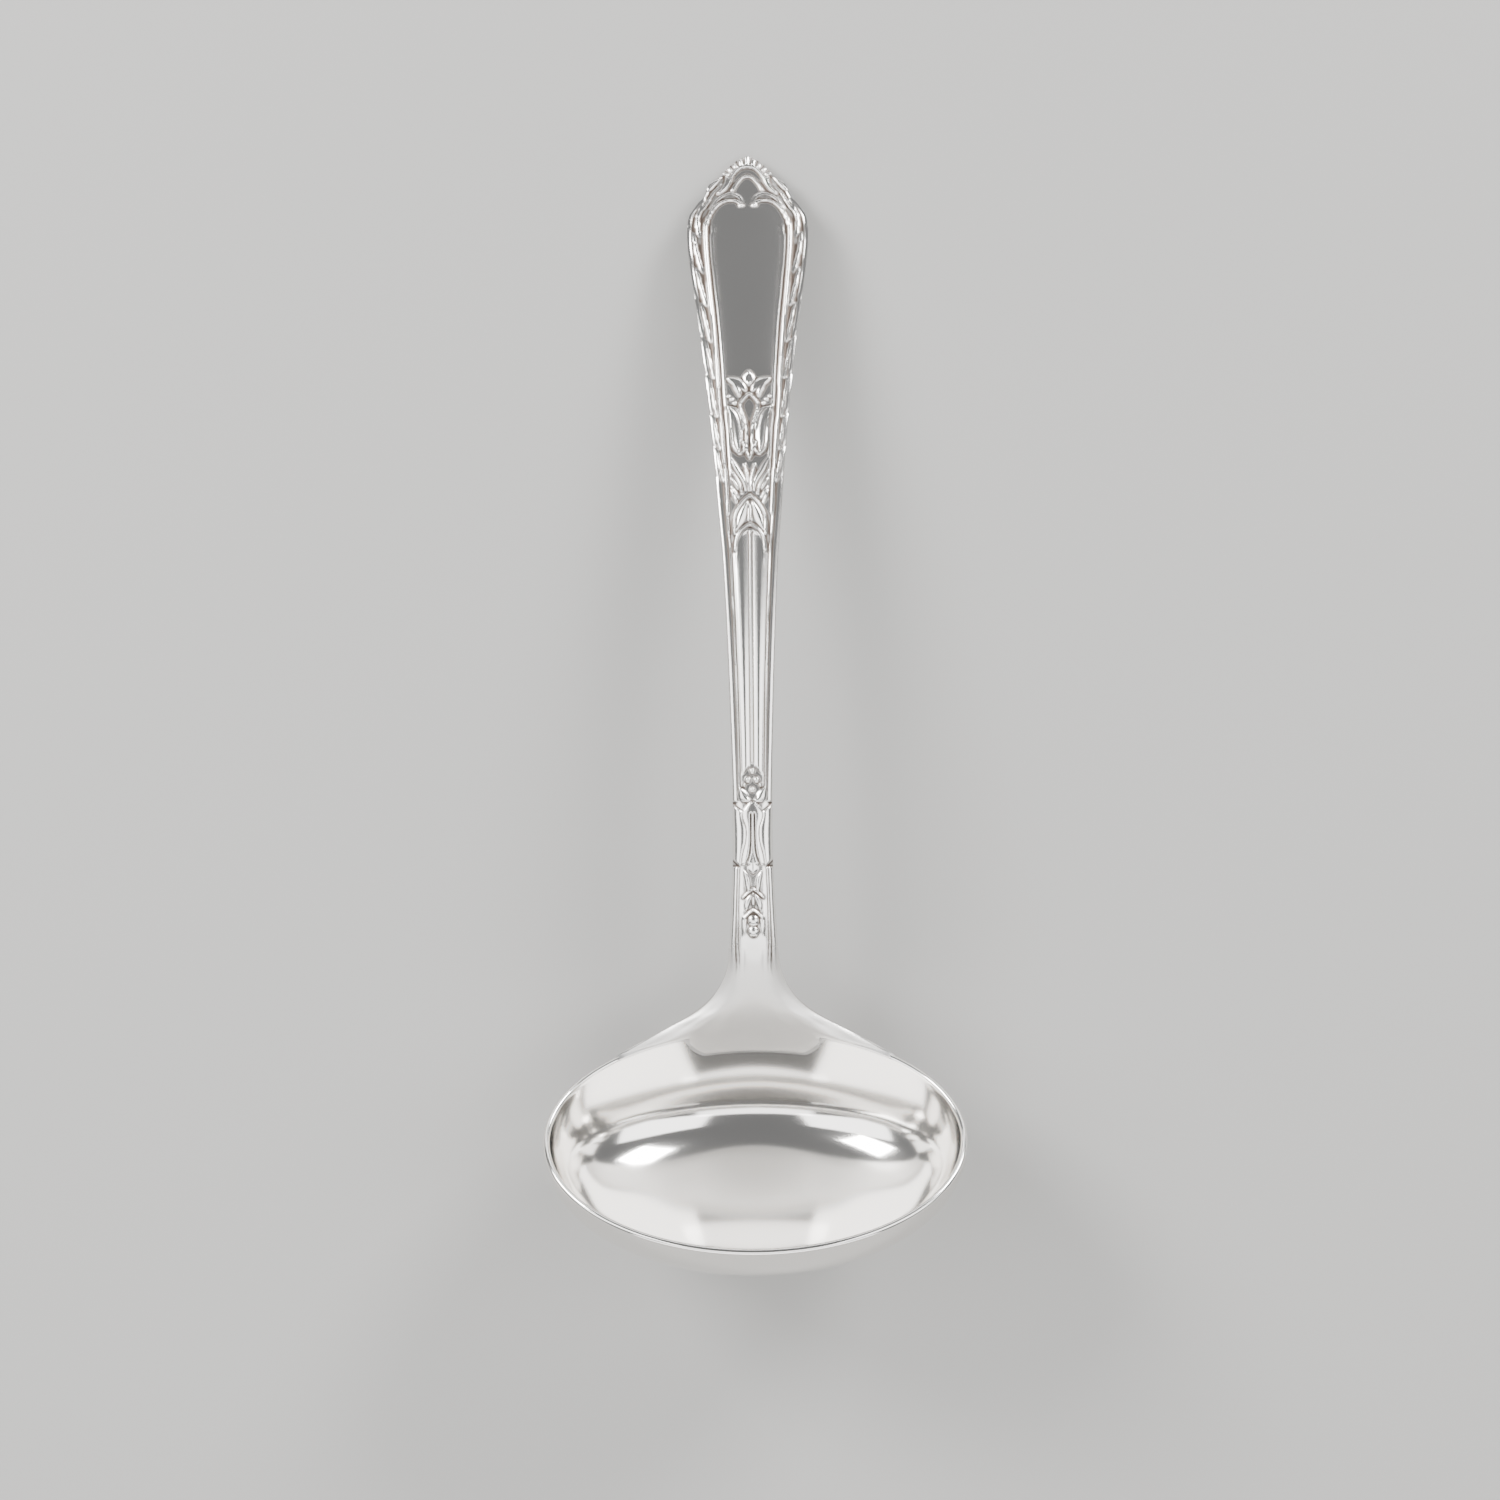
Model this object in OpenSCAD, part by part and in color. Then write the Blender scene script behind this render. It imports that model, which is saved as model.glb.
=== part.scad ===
// Silver-plated gravy ladle, lying face up as it rests on a table.
//
// The bowl is a wide oval cup whose rim leans back toward the handle.
// The handle starts as a short tongue inside the back wall of the bowl, laps over the rim with a
// flared shoulder, arches over and comes down until the underside of its tip touches the table.
// A film of silver solder lies between tongue and bowl.
//
// Frame: +Z up, +Y toward the handle tip, X across. The origin is under the middle of the whole
// ladle, on the table.

/* [View] */
// Which piece to draw

/* [Bowl] */
// Width of the rim across the handle line
bowl_width = 64; // [56:1:72]
// Length of the rim along the handle line
bowl_length = 41.4; // [34:0.2:46]
// Depth from the rim plane to the outside of the floor
bowl_depth = 19.5; // [16:0.5:24]
// Fullness of the cup section: 2 is an ellipse, larger has steeper walls and a flatter floor
bowl_fullness = 2.4; // [2:0.1:3]
// How far the deepest place lies toward the handle from the middle of the rim
floor_back = 7; // [0:0.5:8]
// Thickness of the cup wall and of the flat rim
wall = 1; // [0.8:0.1:1.4]

/* [Rest] */
// Lean of the rim plane when the ladle rests on the bowl and the handle tip
rim_lean = 40; // [34:1:44]
// How much of the roundness under the bowl is worn flat
wear = 0.25; // [0.15:0.05:0.35]

/* [Handle] */
// Level distance from the middle of the bowl to the end of the handle
handle_reach = 150; // [135:0.5:165]
// Level distance and height of the pull that sets how steeply the handle leaves the rim
rise_run = 14; // [10:1:20]
rise_height = 14.5; // [12:0.5:20]
// Level distance from the rim and height of the pull that sets the long arch
arch_run = 76; // [65:1:85]
arch_height = 19; // [14:1:24]
// Widest half width, beside the shield-shaped panel
panel_half = 9.3; // [8:0.1:10.5]
// Half width where the stem is thinnest
stem_half = 2.95; // [2.6:0.05:3.4]
// Thickness of the metal at the neck, along the stem and at the tip
neck_thick = 2.8; // [2.2:0.1:3.2]
stem_thick = 2.1; // [1.8:0.1:2.6]
tip_thick = 1.5; // [1.2:0.1:1.8]
// Height of the struck border and reeds above the ground of the handle
relief = 0.3; // [0.1:0.05:0.4]

/* [Joint] */
// Thickness of the tongue inside the bowl, where it leaves the rim and at its thin lower edge
tongue_thick = 0.8; // [0.5:0.1:1]
tongue_edge = 0.3; // [0.2:0.05:0.4]
// Thickness of the solder film
film = 0.1; // [0.05:0.05:0.15]

/* [Hidden] */

half_width = bowl_width / 2;
half_length = bowl_length / 2;

// The cup is laid out in columns round the rim and levels from the rim to the floor.
step = 5;
columns = 360 / step;
levels = 15;
level_list = [for (k = [0 : levels]) 90 * (k / levels) ^ 0.9];

// Columns of the handle either side of its middle, tongue columns, and tongue levels.
side = 8;
tongue_side = 3;
tongue_levels = 4;

// ---------------------------------------------------------------- the cup surface

// Point on the cup, `inset` inside the outer skin, at bearing `turn` round the rim and at `drop`
// degrees from the rim (0) to the floor (90), in the frame of the rim plane.
function cup(inset, turn, drop) =
    let (out = cos(drop) ^ (2 / bowl_fullness), down = sin(drop) ^ (2 / bowl_fullness))
    [
        (half_width - inset) * out * cos(turn),
        (half_length - inset) * out * sin(turn) + floor_back * down ^ 3,
        -(bowl_depth - inset) * down
    ];

// From the frame of the rim plane to the table, before the ladle is centred.
function lean(p) =
    [
        p.x,
        p.y * cos(rim_lean) + p.z * sin(rim_lean),
        -p.y * sin(rim_lean) + p.z * cos(rim_lean)
    ];

outer_skin = [
    for (k = [0 : levels - 1])
        for (i = [0 : columns - 1])
            lean(cup(0, i * step, level_list[k]))
];
rim_height = -min([for (p = outer_skin) p.z]) - wear;
front = min([for (p = outer_skin) p.y]);

// ---------------------------------------------------------------- the handle line

root_y = half_length * cos(rim_lean);
root_z = rim_height - half_length * sin(rim_lean);

// Pull points of the curve that the underside of the handle follows from the rim to the table.
pulls = [
    [root_y, root_z],
    [root_y + rise_run, root_z + rise_height],
    [root_y + arch_run, arch_height],
    [handle_reach, 0]
];

function line(t) =
    (1 - t) ^ 3 * pulls[0] + 3 * t * (1 - t) ^ 2 * pulls[1]
    + 3 * t ^ 2 * (1 - t) * pulls[2] + t ^ 3 * pulls[3];

function slope(t) =
    let (
        d = (1 - t) ^ 2 * (pulls[1] - pulls[0])
            + 2 * t * (1 - t) * (pulls[2] - pulls[1])
            + t ^ 2 * (pulls[3] - pulls[2])
    )
    d / norm(d);

// Upward normal of the handle line.
function up(t) = let (d = slope(t)) [-d.y, d.x];

// Rows of the handle, closer together at the rim and at the tip.
rows = 88;
crowding = 0.7;
row_list = [for (j = [0 : rows]) let (s = j / rows) s - crowding * sin(360 * s) / 360 * 180 / PI];

// Smooth curve through a table of [place, value] pairs.
function slope_at(table, n) =
    n == 0 || n == len(table) - 1
    ? 0
    : (table[n + 1].y - table[n - 1].y) / (table[n + 1].x - table[n - 1].x);

function between(table, n, x) =
    let (
        gap = table[n + 1].x - table[n].x,
        s = (x - table[n].x) / gap
    )
    table[n].y * (1 + 2 * s) * (1 - s) ^ 2
    + slope_at(table, n) * gap * s * (1 - s) ^ 2
    + table[n + 1].y * s ^ 2 * (3 - 2 * s)
    + slope_at(table, n + 1) * gap * s ^ 2 * (s - 1);

function curve(table, x) =
    x <= table[0].x
    ? table[0].y
    : x >= table[len(table) - 1].x
    ? table[len(table) - 1].y
    : between(table, max([for (n = [0 : len(table) - 2]) if (table[n].x <= x) n]), x);

// Half width of the handle against level distance back from the tip: crown, leaf shoulders, panel,
// long taper and stem.
tip_table = [
    [0, 0.13 * panel_half],
    [0.5, 0.23 * panel_half],
    [1.9, 0.37 * panel_half],
    [2.6, 0.42 * panel_half],
    [3.4, 0.53 * panel_half],
    [4.5, 0.64 * panel_half],
    [5.5, 0.7 * panel_half],
    [6.8, 0.78 * panel_half],
    [8.2, 0.89 * panel_half],
    [9.3, 0.97 * panel_half],
    [10.7, panel_half],
    [13.5, panel_half],
    [16.6, 0.97 * panel_half],
    [21.4, 0.9 * panel_half],
    [27.6, 0.8 * panel_half],
    [33.9, 0.72 * panel_half],
    [46.4, 0.59 * panel_half],
    [54, 0.525 * panel_half],
    [63, 0.45 * panel_half],
    [77, stem_half + 0.6],
    [92, stem_half + 0.15],
    [100, stem_half],
    [110, stem_half]
];

// Half width of the handle against level distance out from the rim: the flared shoulder.
shoulder_half = (half_width) * cos(90 - side * step);
root_table = [
    [0, shoulder_half],
    [1.3, 0.83 * shoulder_half],
    [2.8, 0.63 * shoulder_half],
    [4.8, 0.4 * shoulder_half],
    [6.8, 0.28 * shoulder_half],
    [9.8, 0.197 * shoulder_half],
    [14, stem_half + 0.6],
    [24, stem_half + 0.1],
    [30, stem_half]
];

function half_at(y) =
    y < handle_reach - 100
    ? curve(root_table, y - root_y)
    : curve(tip_table, handle_reach - y);

// How far the ends of a row trail behind its middle, and how much higher they lie.
trail = half_length * (1 - cos(side * step)) * cos(rim_lean);
trail_table = [[0, trail], [1.3, 0.8 * trail], [2.8, 0.58 * trail], [6, 0.22 * trail], [12, 0]];
lift = half_length * (1 - cos(side * step)) * sin(rim_lean);
lift_table = [[0, lift], [1.3, 0.28 * lift], [2.8, -0.2 * lift], [5, -0.34 * lift], [12, 0]];

// Metal thickness along the handle, at the middle and at the edges.
thick_table = [
    [0, wall + film + tongue_thick],
    [6, neck_thick],
    [16, neck_thick],
    [40, stem_thick],
    [100, stem_thick],
    [handle_reach - root_y, tip_thick]
];
edge_table = [
    [0, wall + film],
    [6, 0.55 * neck_thick],
    [40, 0.6 * stem_thick],
    [100, 0.6 * stem_thick],
    [handle_reach - root_y - 4, tip_thick],
    [handle_reach - root_y, tip_thick]
];

// Where the columns lie across the handle, and the height of the face at each of them:
// on the reeded stem, on the shield panel, over the flower bosses and on the plain shoulder.
spread = [0, 0.08, 0.3, 0.52, 0.6, 0.68, 0.76, 0.9, 1];
reeds = [0.8, 0, 0.9, 0, 0.7, 0, 0.9, 1, 0.3];
panel = [0, 0, 0, 0, 0.7, 0.2, 0.9, 1, 0.3];
boss = [1.6, 1.6, 1.5, 0.6, 0.5, 0.3, 0.9, 1, 0.3];
plain = [0, 0, 0, 0, 0, 0, 0, 0, 0];

// Level distance back from the tip, and the face profile there.
face_list = [
    [0, boss],
    [5, boss],
    [7, panel],
    [31, panel],
    [35, boss],
    [43, boss],
    [50, reeds],
    [93, reeds],
    [96, boss],
    [105, boss],
    [110, reeds],
    [120, reeds],
    [127, plain],
    [handle_reach, plain]
];

function face_at(back, i) =
    let (
        n = max([for (m = [0 : len(face_list) - 2]) if (face_list[m].x <= back) m]),
        s = (back - face_list[n].x) / (face_list[n + 1].x - face_list[n].x)
    )
    relief * (face_list[n].y[i] * (1 - s) + face_list[n + 1].y[i] * s);

// Place of column i across the row that starts `out` from the rim, from 0 to 1.
settle = 10;
function across(i, out) =
    let (s = min(out / settle, 1), rim_place = sin(abs(i) * step) / sin(side * step))
    rim_place * (1 - s) + spread[abs(i)] * s;

// Shape of a row: 0 at its middle, 1 at its ends, following the oval of the rim.
function bow(place) =
    (1 - cos(asin(place * sin(side * step)))) / (1 - cos(side * step));

// ---------------------------------------------------------------- handle points

// Underside and face of the handle at row t, column i.
function under_point(t, i) =
    let (
        c = line(t),
        out = c.x - root_y,
        place = across(i, out),
        thin = curve(thick_table, out) - curve(edge_table, out),
        raise = out <= 0 ? [0, 0] : up(t) * thin * place ^ 4 * min(out / settle, 1)
    )
    [
        sign(i) * half_at(c.x) * place,
        c.x - curve(trail_table, out) * bow(place) + raise.x,
        c.y + curve(lift_table, out) * bow(place) + raise.y
    ];

function face_point(t, i) =
    let (
        c = line(t),
        out = c.x - root_y,
        place = across(i, out),
        settled = min(out / settle, 1),
        middle = curve(thick_table, out),
        edge = curve(edge_table, out),
        swell = middle - (middle - edge) * place ^ (2 + 2 * settled),
        proud = swell + face_at(handle_reach - c.x, abs(i)),
        rise = up(t) * proud
    )
    [
        sign(i) * half_at(c.x) * place,
        c.x - curve(trail_table, out) * bow(place) + rise.x,
        c.y + curve(lift_table, out) * bow(place) + rise.y
    ];

// A point on the cup set on the table, raised by `height` off the rim plane.
function seated(inset, i, drop, height) =
    lean(cup(inset, 90 - i * step, drop) + [0, 0, height]) + [0, 0, rim_height];

// Thickness of the tongue at column i, level k.
function tongue(i, k) =
    tongue_edge + (tongue_thick - tongue_edge) * cos(90 * i / side) ^ 2 * (1 - k / tongue_levels);

// Face of the handle on the rim: the tongue stands proud of the cup wall near the middle only.
function rim_face(i) =
    let (proud = abs(i) <= tongue_side ? tongue(i, 0) : 0)
    seated(wall + film + proud, i, 0, film);

across_list = [for (i = [-side : side]) i];
tongue_list = [for (i = [-tongue_side : tongue_side]) i];
width = len(across_list);
tab = len(tongue_list);

handle_raw = concat(
    [for (i = across_list) seated(0, i, 0, film)],
    [for (j = [1 : rows]) for (i = across_list) under_point(row_list[j], i)],
    [for (i = across_list) rim_face(i)],
    [for (j = [1 : rows]) for (i = across_list) face_point(row_list[j], i)],
    [for (k = [0 : tongue_levels]) for (i = tongue_list)
        seated(wall + film, i, level_list[k], k == 0 ? film : 0)],
    [for (k = [1 : tongue_levels]) for (i = tongue_list)
        seated(wall + film + tongue(i, k), i, level_list[k], 0)]
);

// The whole ladle is centred along the table between the front of the bowl and the handle tip.
back = max([for (p = handle_raw) p.y]);
centre = [0, -(front + back) / 2, 0];

// ---------------------------------------------------------------- faces

// Two triangles over the corners a b c d, split the same way on mirrored columns.
function quad(a, b, c, d, flip) = flip ? [[a, b, d], [b, c, d]] : [[a, b, c], [a, c, d]];

function turned(faces) = [for (f = faces) [f[2], f[1], f[0]]];

function joined(lists) = [for (l = lists) for (f = l) f];

// Start of each block of points in the handle.
under_at = 0;
face_at_row = (rows + 1) * width;
tab_at = 2 * face_at_row;
tip_at = tab_at + (tongue_levels + 1) * tab;

function under_id(j, n) = under_at + j * width + n;
function face_id(j, n) = face_at_row + j * width + n;
function back_id(k, n) = tab_at + k * tab + n;
first_tab = side - tongue_side;
function front_id(k, n) = k == 0 ? face_id(0, n + first_tab) : tip_at + (k - 1) * tab + n;

handle_faces = concat(
    joined([for (j = [0 : rows - 1]) for (n = [0 : width - 2])
        quad(face_id(j, n), face_id(j + 1, n), face_id(j + 1, n + 1), face_id(j, n + 1), n < side)]),
    joined([for (j = [0 : rows - 1]) for (n = [0 : width - 2])
        quad(under_id(j, n), under_id(j, n + 1), under_id(j + 1, n + 1), under_id(j + 1, n), n >= side)]),
    joined([for (j = [0 : rows - 1])
        quad(under_id(j, 0), under_id(j + 1, 0), face_id(j + 1, 0), face_id(j, 0), false)]),
    joined([for (j = [0 : rows - 1])
        quad(under_id(j, width - 1), face_id(j, width - 1), face_id(j + 1, width - 1),
             under_id(j + 1, width - 1), false)]),
    joined([for (n = [0 : width - 2])
        quad(under_id(rows, n), under_id(rows, n + 1), face_id(rows, n + 1), face_id(rows, n), false)]),
    joined([for (n = [0 : width - 2]) if (n < first_tab || n >= first_tab + tab - 1)
        shoulder_faces(n)]),
    joined([for (n = [0 : tab - 2])
        quad(under_id(0, n + first_tab), back_id(0, n), back_id(0, n + 1),
             under_id(0, n + 1 + first_tab), false)]),
    joined([for (k = [0 : tongue_levels - 1]) for (n = [0 : tab - 2])
        quad(back_id(k, n), back_id(k + 1, n), back_id(k + 1, n + 1), back_id(k, n + 1),
             n < tongue_side)]),
    joined([for (k = [0 : tongue_levels - 1]) for (n = [0 : tab - 2])
        quad(front_id(k, n), front_id(k, n + 1), front_id(k + 1, n + 1), front_id(k + 1, n),
             n >= tongue_side)]),
    joined([for (n = [0 : tab - 2])
        quad(back_id(tongue_levels, n), front_id(tongue_levels, n),
             front_id(tongue_levels, n + 1), back_id(tongue_levels, n + 1), false)]),
    joined([for (k = [0 : tongue_levels - 1])
        quad(back_id(k, 0), front_id(k, 0), front_id(k + 1, 0), back_id(k + 1, 0), false)]),
    joined([for (k = [0 : tongue_levels - 1])
        quad(back_id(k, tab - 1), back_id(k + 1, tab - 1), front_id(k + 1, tab - 1),
             front_id(k, tab - 1), false)])
);

// Underside of the shoulder where it sits on the rim beside the tongue.
function shoulder_faces(n) =
    n == first_tab - 1
    ? [
        [under_id(0, n), face_id(0, n), back_id(0, 0)],
        [under_id(0, n), back_id(0, 0), under_id(0, n + 1)],
        [face_id(0, n), face_id(0, n + 1), back_id(0, 0)]
    ]
    : n == first_tab + tab - 1
    ? [
        [under_id(0, n), back_id(0, tab - 1), face_id(0, n + 1)],
        [under_id(0, n), face_id(0, n + 1), under_id(0, n + 1)],
        [back_id(0, tab - 1), face_id(0, n), face_id(0, n + 1)]
    ]
    : quad(under_id(0, n), face_id(0, n), face_id(0, n + 1), under_id(0, n + 1), false);

// ---------------------------------------------------------------- pieces

// The cup: outer skin, flat rim and inner skin, each closed by one point at the floor.
module cup_shell() {
    skin = [for (inset = [0, wall]) for (k = [0 : levels - 1]) for (i = [0 : columns - 1])
        seated(inset, 90 / step - i, level_list[k], 0)];
    floors = [for (inset = [0, wall]) seated(inset, 0, 90, 0)];
    block = levels * columns;
    inside = turned(joined([for (k = [0 : levels - 2]) for (i = [0 : columns - 1])
        let (m = (i + 1) % columns)
        quad(block + k * columns + i, block + k * columns + m, block + (k + 1) * columns + m,
             block + (k + 1) * columns + i, i < columns / 4 || i >= 3 * columns / 4)]));
    outside = joined([for (k = [0 : levels - 2]) for (i = [0 : columns - 1])
        let (m = (i + 1) % columns)
        quad(k * columns + i, k * columns + m, (k + 1) * columns + m, (k + 1) * columns + i,
             i < columns / 4 || i >= 3 * columns / 4)]);
    rim = joined([for (i = [0 : columns - 1])
        let (m = (i + 1) % columns)
        quad(i, block + i, block + m, m, false)]);
    last = (levels - 1) * columns;
    ends = joined([for (i = [0 : columns - 1])
        let (m = (i + 1) % columns)
        [
            [last + i, last + m, 2 * block],
            [block + last + m, block + last + i, 2 * block + 1]
        ]]);
    polyhedron(concat(skin, floors), concat(outside, inside, rim, ends));
}

// Everything below the table plane, to be worn away.
module below_table() {
    room = 2 * bowl_width;
    translate([-room, -room, -room])
        cube([2 * room, 2 * handle_reach, room]);
}

module bowl() {
    color("silver")
        translate(centre)
            difference() {
                cup_shell();
                below_table();
            }
}

module handle() {
    color("gainsboro")
        translate(centre)
            polyhedron(handle_raw, handle_faces);
}

module solder_seam() {
    lower = [for (i = across_list) [seated(0, i, 0, 0), seated(wall, i, 0, 0)]];
    upper = [for (i = across_list) [seated(0, i, 0, film), seated(wall + film, i, 0, film)]];
    rim_points = joined([for (n = [0 : width - 1]) concat(lower[n], upper[n])]);
    tab_points = joined([for (k = [1 : tongue_levels]) for (i = tongue_list)
        [seated(wall, i, level_list[k], 0), seated(wall + film, i, level_list[k], 0)]]);
    start = len(rim_points);
    function wet(k, n) = k == 0 ? 4 * (n + first_tab) + 1 : start + 2 * ((k - 1) * tab + n);
    function dry(k, n) = k == 0 ? 4 * (n + first_tab) + 3 : start + 2 * ((k - 1) * tab + n) + 1;
    color("lightgrey")
        translate(centre)
            polyhedron(
                concat(rim_points, tab_points),
                turned(concat(
                    joined([for (n = [0 : width - 2]) let (p = 4 * n, q = p + 4)
                        quad(p, q, q + 1, p + 1, false)]),
                    joined([for (n = [0 : width - 2]) let (p = 4 * n, q = p + 4)
                        quad(p + 2, p + 3, q + 3, q + 2, false)]),
                    joined([for (n = [0 : width - 2]) let (p = 4 * n, q = p + 4)
                        quad(p, p + 2, q + 2, q, false)]),
                    joined([for (n = [0 : width - 2]) if (n < first_tab || n >= first_tab + tab - 1)
                        let (p = 4 * n, q = p + 4)
                        quad(p + 1, q + 1, q + 3, p + 3, false)]),
                    [[0, 1, 3], [0, 3, 2]],
                    let (p = 4 * (width - 1)) [[p, p + 3, p + 1], [p, p + 2, p + 3]],
                    joined([for (k = [0 : tongue_levels - 1]) for (n = [0 : tab - 2])
                        quad(wet(k, n), wet(k, n + 1), wet(k + 1, n + 1), wet(k + 1, n), n >= tongue_side)]),
                    joined([for (k = [0 : tongue_levels - 1]) for (n = [0 : tab - 2])
                        quad(dry(k, n), dry(k + 1, n), dry(k + 1, n + 1), dry(k, n + 1), n < tongue_side)]),
                    joined([for (n = [0 : tab - 2])
                        quad(wet(tongue_levels, n), wet(tongue_levels, n + 1),
                             dry(tongue_levels, n + 1), dry(tongue_levels, n), false)]),
                    joined([for (k = [0 : tongue_levels - 1])
                        quad(wet(k, 0), wet(k + 1, 0), dry(k + 1, 0), dry(k, 0), false)]),
                    joined([for (k = [0 : tongue_levels - 1])
                        quad(wet(k, tab - 1), dry(k, tab - 1), dry(k + 1, tab - 1), wet(k + 1, tab - 1),
                             false)])
                ))
            );
}

bowl();
handle();
solder_seam();
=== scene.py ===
import math

import bmesh
import bpy
import numpy as np
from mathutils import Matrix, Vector


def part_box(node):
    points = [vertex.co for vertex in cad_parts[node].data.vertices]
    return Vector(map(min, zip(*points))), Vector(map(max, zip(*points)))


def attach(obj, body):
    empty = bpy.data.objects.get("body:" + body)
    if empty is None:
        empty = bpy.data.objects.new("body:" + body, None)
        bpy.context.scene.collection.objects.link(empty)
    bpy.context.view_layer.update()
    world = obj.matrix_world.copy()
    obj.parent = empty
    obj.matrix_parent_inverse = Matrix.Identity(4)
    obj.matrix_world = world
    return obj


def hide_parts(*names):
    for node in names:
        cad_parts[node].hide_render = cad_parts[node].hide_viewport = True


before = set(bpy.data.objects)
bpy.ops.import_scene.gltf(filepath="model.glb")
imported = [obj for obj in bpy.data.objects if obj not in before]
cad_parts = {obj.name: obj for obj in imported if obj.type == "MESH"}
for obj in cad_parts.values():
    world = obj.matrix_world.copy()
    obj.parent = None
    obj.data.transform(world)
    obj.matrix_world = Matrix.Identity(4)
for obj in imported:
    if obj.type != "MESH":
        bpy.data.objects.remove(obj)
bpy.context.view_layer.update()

# ------------------------------------------------------------------------------------------ bowl
# The bowl is one oval cup of nickel silver, raised over a stake, silver plated and buffed until it
# mirrors inside and out. Its rim is a half round. The ladle lies with the rim leaning back toward
# the handle, so the outside carries a small worn spot where it meets the table.
MM = 0.001
RIM_LEAN = math.radians(40)
BOWL_LENGTH = 41.4 * MM
BOWL_DEPTH = 19.5 * MM
BOWL_FULLNESS = 2.4
FLOOR_BACK = 7 * MM
WALL = 1 * MM
RIM_ROUNDING = 0.5 * MM
CUP_COLUMNS = 288
CUP_LEVELS = 72
RIM_LEVELS = 18
SEAM_GAP = 0.002 * MM

bowl_low, bowl_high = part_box("bowl")
half_width = (bowl_high.x - bowl_low.x) / 2
half_length = BOWL_LENGTH / 2
rim_height = bowl_high.z - half_length * math.sin(RIM_LEAN)

# The front wall bulges past the rim, so the middle of the bowl is found from the bulge.
wall_turn = np.linspace(0, math.pi / 2, 400)
wall_out = np.cos(wall_turn) ** (2 / BOWL_FULLNESS)
wall_down = np.sin(wall_turn) ** (2 / BOWL_FULLNESS)
bulge = ((half_length * wall_out - FLOOR_BACK * wall_down ** 3) * math.cos(RIM_LEAN)
         + BOWL_DEPTH * wall_down * math.sin(RIM_LEAN))
bowl_middle = bowl_low.y + bulge.max()


def add_input(tree, name, kind="NodeSocketFloat"):
    return tree.interface.new_socket(name=name, in_out="INPUT", socket_type=kind).identifier


def feed(tree, socket, value):
    """Links an output, or sets a plain number, on an input socket."""
    if isinstance(value, bpy.types.NodeSocket):
        tree.links.new(value, socket)
    else:
        socket.default_value = value


def calc(tree, operation, *values):
    """One arithmetic node; gives its output."""
    node = tree.nodes.new("ShaderNodeMath")
    node.operation = operation
    for socket, value in zip(node.inputs, values):
        feed(tree, socket, value)
    return node.outputs[0]


def sheet_grid(tree, columns, levels):
    """A unit grid; gives its mesh and its place across (0 to 1) and along (0 to 1)."""
    grid = tree.nodes.new("GeometryNodeMeshGrid")
    feed(tree, grid.inputs["Vertices X"], columns)
    feed(tree, grid.inputs["Vertices Y"], levels)
    grid.inputs["Size X"].default_value = 1
    grid.inputs["Size Y"].default_value = 1
    place = tree.nodes.new("ShaderNodeSeparateXYZ")
    tree.links.new(tree.nodes.new("GeometryNodeInputPosition").outputs[0], place.inputs[0])
    return grid.outputs["Mesh"], calc(tree, "ADD", place.outputs["X"], 0.5), calc(
        tree, "ADD", place.outputs["Y"], 0.5)


def lean_back(tree, mesh, x, y, z, group):
    """Moves the grid's points to x, y, z in the rim's frame, then leans them on the table."""
    cos_lean = calc(tree, "COSINE", group["Rim Lean"])
    sin_lean = calc(tree, "SINE", group["Rim Lean"])
    level = calc(tree, "ADD", calc(tree, "MULTIPLY", y, cos_lean), calc(tree, "MULTIPLY", z, sin_lean))
    height = calc(tree, "SUBTRACT", calc(tree, "MULTIPLY", z, cos_lean),
                  calc(tree, "MULTIPLY", y, sin_lean))
    point = tree.nodes.new("ShaderNodeCombineXYZ")
    feed(tree, point.inputs["X"], x)
    feed(tree, point.inputs["Y"], calc(tree, "ADD", level, group["Middle"]))
    feed(tree, point.inputs["Z"], calc(tree, "MAXIMUM", calc(tree, "ADD", height, group["Rim Height"]), 0))
    move = tree.nodes.new("GeometryNodeSetPosition")
    feed(tree, move.inputs["Geometry"], mesh)
    feed(tree, move.inputs["Position"], point.outputs[0])
    return move.outputs["Geometry"]


def cup_skin(tree, inset, group):
    """One skin of the cup, `inset` inside the outer one, from just under the rim to the floor."""
    mesh, across, down = sheet_grid(tree, group["Columns"], group["Levels"])
    turn = calc(tree, "MULTIPLY", across, 2 * math.pi)
    drop = calc(tree, "MULTIPLY", down, math.pi / 2)
    power = calc(tree, "DIVIDE", 2, group["Fullness"])
    out = calc(tree, "POWER", calc(tree, "MAXIMUM", calc(tree, "COSINE", drop), 0), power)
    fall = calc(tree, "POWER", calc(tree, "SINE", drop), power)
    reach_x = calc(tree, "MULTIPLY", calc(tree, "SUBTRACT", group["Half Width"], inset), out)
    reach_y = calc(tree, "MULTIPLY", calc(tree, "SUBTRACT", group["Half Length"], inset), out)
    x = calc(tree, "MULTIPLY", reach_x, calc(tree, "COSINE", turn))
    y = calc(tree, "ADD", calc(tree, "MULTIPLY", reach_y, calc(tree, "SINE", turn)),
             calc(tree, "MULTIPLY", group["Floor Back"], calc(tree, "POWER", fall, 3)))
    depth = calc(tree, "SUBTRACT", calc(tree, "SUBTRACT", group["Depth"], inset), group["Rounding"])
    z = calc(tree, "SUBTRACT", calc(tree, "MULTIPLY", calc(tree, "MULTIPLY", fall, depth), -1),
             group["Rounding"])
    return lean_back(tree, mesh, x, y, z, group)


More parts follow.
